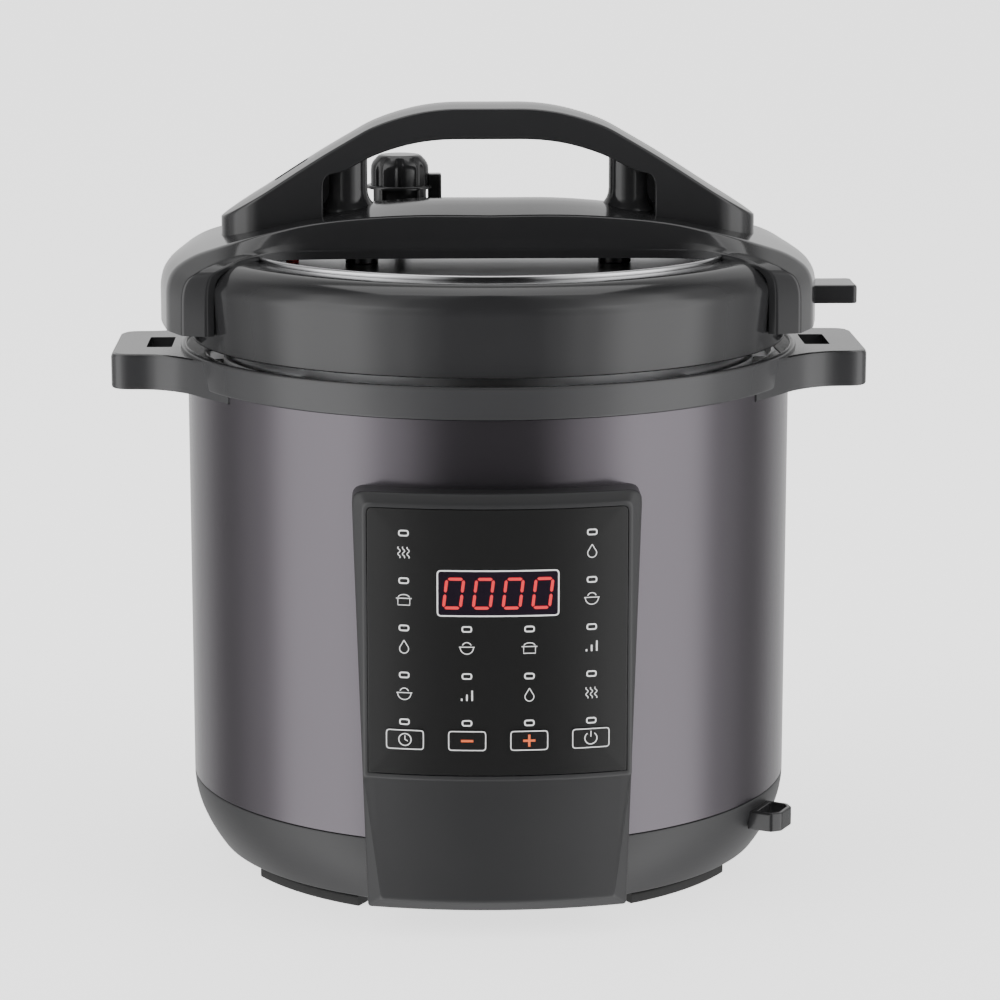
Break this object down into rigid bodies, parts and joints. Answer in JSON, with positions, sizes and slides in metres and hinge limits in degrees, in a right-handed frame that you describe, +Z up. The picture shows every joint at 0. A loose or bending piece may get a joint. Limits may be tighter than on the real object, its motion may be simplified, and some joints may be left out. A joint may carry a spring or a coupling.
{
  "type": "electric pressure cooker",
  "caption": "Upright electric pressure cooker with a turn-lock lid, arched grip, side handles and a curved control panel on the front.",
  "frame": {"origin": "on the table, under the axis of the pot", "axes": "+Z up along the pot's axis, -Y towards the control panel, +X to the right-hand handle as seen from the front"},
  "size_m": [0.34, 0.3042, 0.345],
  "materials": {
    "black_satin": "satin moulded plastic",
    "foot_rubber": "matt rubber",
    "bright_steel": "polished stainless steel",
    "dark_paint": "dark metallic paint, satin",
    "black_gloss": "high-gloss moulded plastic",
    "cast_aluminium": "cast aluminium",
    "non_stick": "dark non-stick coating on aluminium",
    "silicone": "translucent silicone rubber",
    "clear_plastic": "clear moulded plastic",
    "circuit_board": "printed circuit board",
    "panel_film": "glossy printed film",
    "orange_key": "orange print on glossy film",
    "float_red": "red moulded plastic"
  },
  "bodies": {
    "base": {"base_bowl": "black_satin", "foot_front_right": "foot_rubber", "foot_rear_right": "foot_rubber", "foot_rear_left": "foot_rubber", "foot_front_left": "foot_rubber", "bottom_cover": "black_satin", "cover_screw_1": "bright_steel", "cover_screw_2": "bright_steel", "cover_screw_3": "bright_steel", "outer_sleeve": "dark_paint", "body_ring": "black_gloss", "outer_pot": "bright_steel", "heating_plate": "cast_aluminium", "sensor_spring": "bright_steel", "spring_beam": "bright_steel", "beam_screw_left": "bright_steel", "beam_screw_right": "bright_steel", "pressure_switch": "black_satin", "thermal_fuse": "cast_aluminium", "power_board": "circuit_board", "power_inlet": "black_satin", "inlet_pin_line": "bright_steel", "inlet_pin_earth": "bright_steel", "inlet_pin_neutral": "bright_steel", "cup_bracket": "black_satin", "spoon_holder": "black_satin", "control_housing": "black_satin", "panel_overlay": "panel_film", "control_board": "circuit_board", "display_module": "circuit_board"},
    "sensor": {"temperature_sensor": "cast_aluminium"},
    "cup": {"condensation_cup": "clear_plastic"},
    "delay_key": {"key_delay": "panel_film"},
    "minus_key": {"key_minus": "orange_key"},
    "plus_key": {"key_plus": "orange_key"},
    "cancel_key": {"key_cancel": "panel_film"},
    "pot": {"inner_pot": "non_stick"},
    "lid_seal": {"sealing_ring": "silicone", "seal_rack": "bright_steel"},
    "lid": {"lid_pan": "bright_steel", "lid_ring": "black_gloss", "lid_bead": "bright_steel", "lid_bridge": "black_gloss", "lid_grip": "black_gloss", "lid_tab": "black_gloss", "steam_pipe": "bright_steel", "vent_shield": "bright_steel", "bridge_screw_left": "bright_steel", "bridge_screw_right": "bright_steel"},
    "steam_knob": {"steam_valve_knob": "black_gloss"},
    "float_valve": {"float_valve_pin": "float_red", "float_valve_seal": "silicone"}
  },
  "joints": [
    {"name": "lid_lift", "type": "slide", "parent": "base", "child": "lid_seal", "axis": [0, 0, 1], "range_m": [0, 0.45]},
    {"name": "lid_turn", "type": "hinge", "parent": "lid_seal", "child": "lid", "pos_m": [0, 0, 0.24], "axis": [0, 0, 1], "range_deg": [0, 30]},
    {"name": "inner_pot_lift", "type": "slide", "parent": "base", "child": "pot", "axis": [0, 0, 1], "range_m": [0, 0.203]},
    {"name": "steam_valve_turn", "type": "hinge", "parent": "lid", "child": "steam_knob", "pos_m": [-0.04, 0.053, 0.3], "axis": [0, 0, 1], "range_deg": [0, 45]},
    {"name": "float_valve_rise", "type": "slide", "parent": "lid", "child": "float_valve", "axis": [0, 0, 1], "range_m": [0, 0.005]},
    {"name": "sensor_press", "type": "slide", "parent": "base", "child": "sensor", "axis": [0, 0, 1], "range_m": [-0.003, 0], "stiffness_N_per_m": 400, "springref_m": 0.001, "deforming": ["sensor_spring"]},
    {"name": "cup_pull", "type": "slide", "parent": "base", "child": "cup", "axis": [0, 1, 0], "range_m": [0, 0.03]},
    {"name": "key_delay_press", "type": "slide", "parent": "base", "child": "delay_key", "axis": [0, 1, 0], "range_m": [0, 0.0004], "stiffness_N_per_m": 800},
    {"name": "key_minus_press", "type": "slide", "parent": "base", "child": "minus_key", "axis": [0, 1, 0], "range_m": [0, 0.0004], "stiffness_N_per_m": 800},
    {"name": "key_plus_press", "type": "slide", "parent": "base", "child": "plus_key", "axis": [0, 1, 0], "range_m": [0, 0.0004], "stiffness_N_per_m": 800},
    {"name": "key_cancel_press", "type": "slide", "parent": "base", "child": "cancel_key", "axis": [0, 1, 0], "range_m": [0, 0.0004], "stiffness_N_per_m": 800}
  ],
  "couplings": [
    {"joint": "inner_pot_lift", "follows": "lid_lift", "ratio": 0.45}
  ]
}
